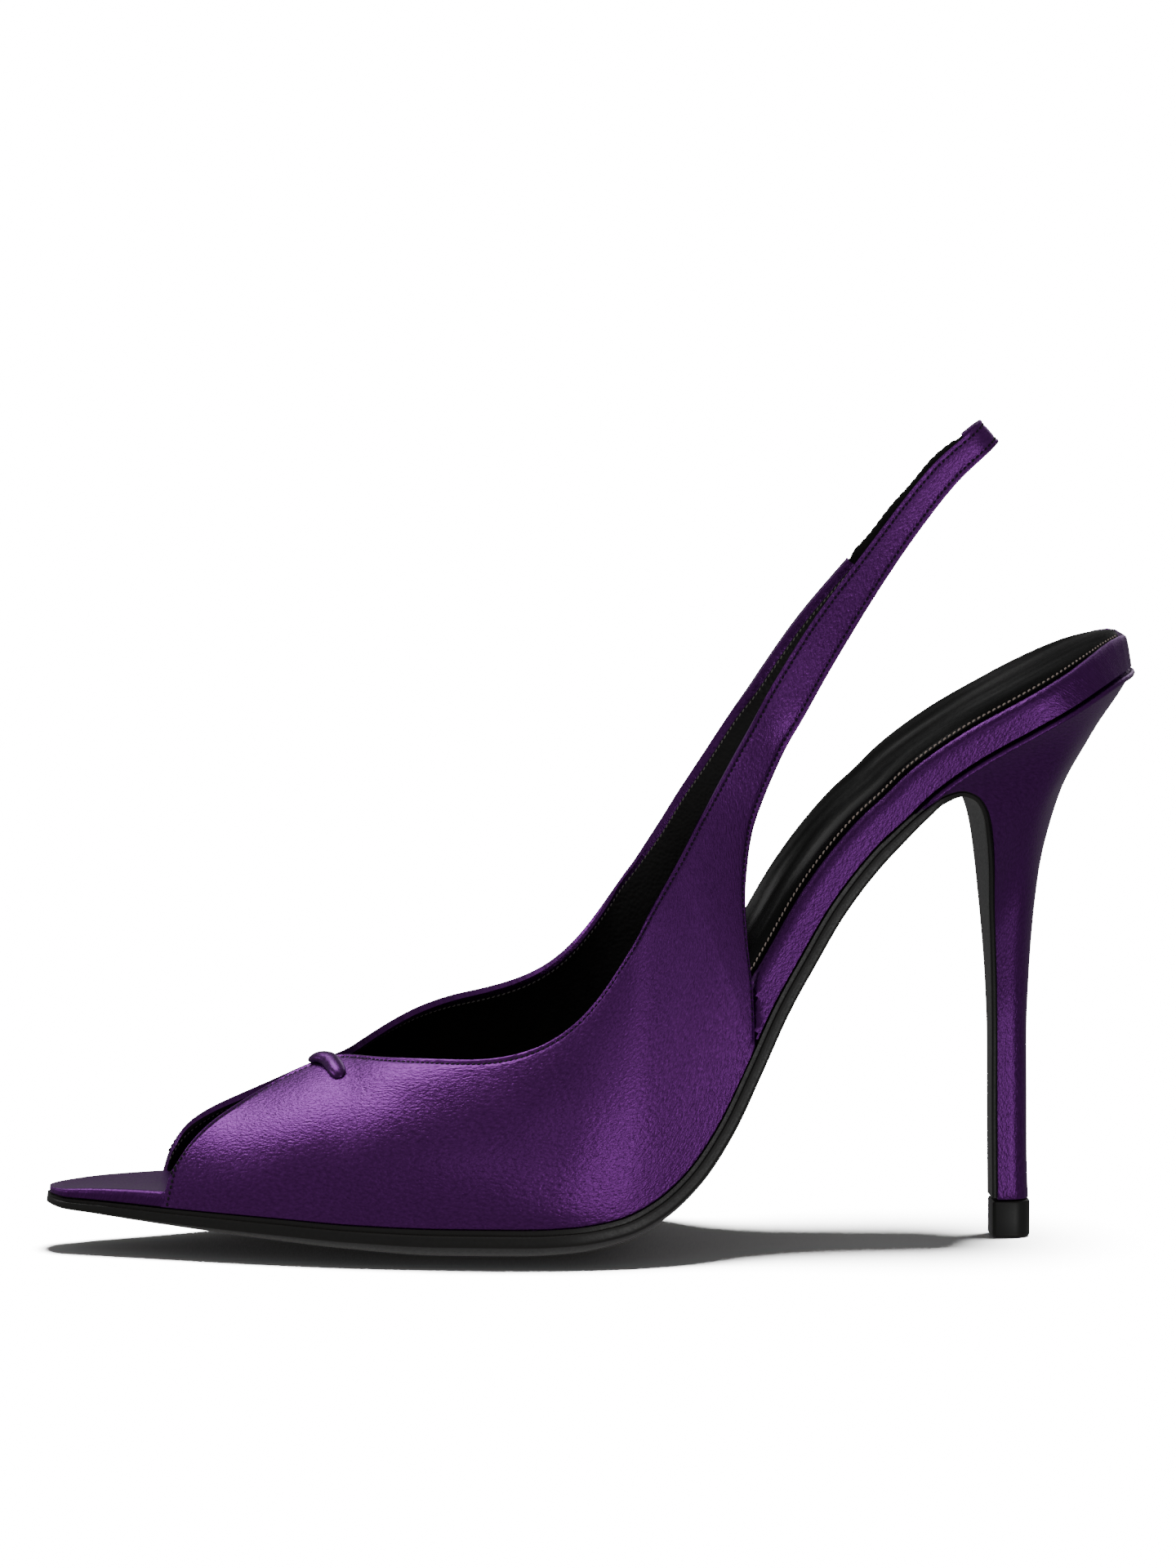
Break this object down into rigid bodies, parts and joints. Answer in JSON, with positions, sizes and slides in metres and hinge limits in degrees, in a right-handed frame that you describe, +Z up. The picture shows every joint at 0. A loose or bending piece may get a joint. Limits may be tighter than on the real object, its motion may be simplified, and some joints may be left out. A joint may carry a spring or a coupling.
{
  "type": "peep toe slingback pump",
  "caption": "Pointed stiletto pump with an open toe, two side panels joined by a small knot, and a sling strap round the heel with an elastic inset.",
  "frame": {"origin": "centre of the top lift's bottom face, on the floor", "axes": "+Z up, the toe points along -X and the seat's back along +X, -Y is the lateral side of this left shoe and +Y the medial side"},
  "size_m": [0.2108, 0.0739, 0.1589],
  "materials": {
    "sole_leather": "smooth, semi matt black",
    "board_satin": "purple satin",
    "sock_leather": "smooth black lining leather",
    "heel_satin": "purple satin",
    "top_lift": "black, semi gloss",
    "upper_satin": "purple satin, lined with black leather",
    "elastic_leather": "black leather over elastic",
    "band_satin": "purple satin"
  },
  "bodies": {
    "root": {"outsole": "sole_leather", "insole_board": "board_satin", "sock": "sock_leather", "heel": "heel_satin", "top_lift": "top_lift", "upper": "upper_satin", "elastic": "elastic_leather", "knot_band": "band_satin"}
  },
  "joints": []
}
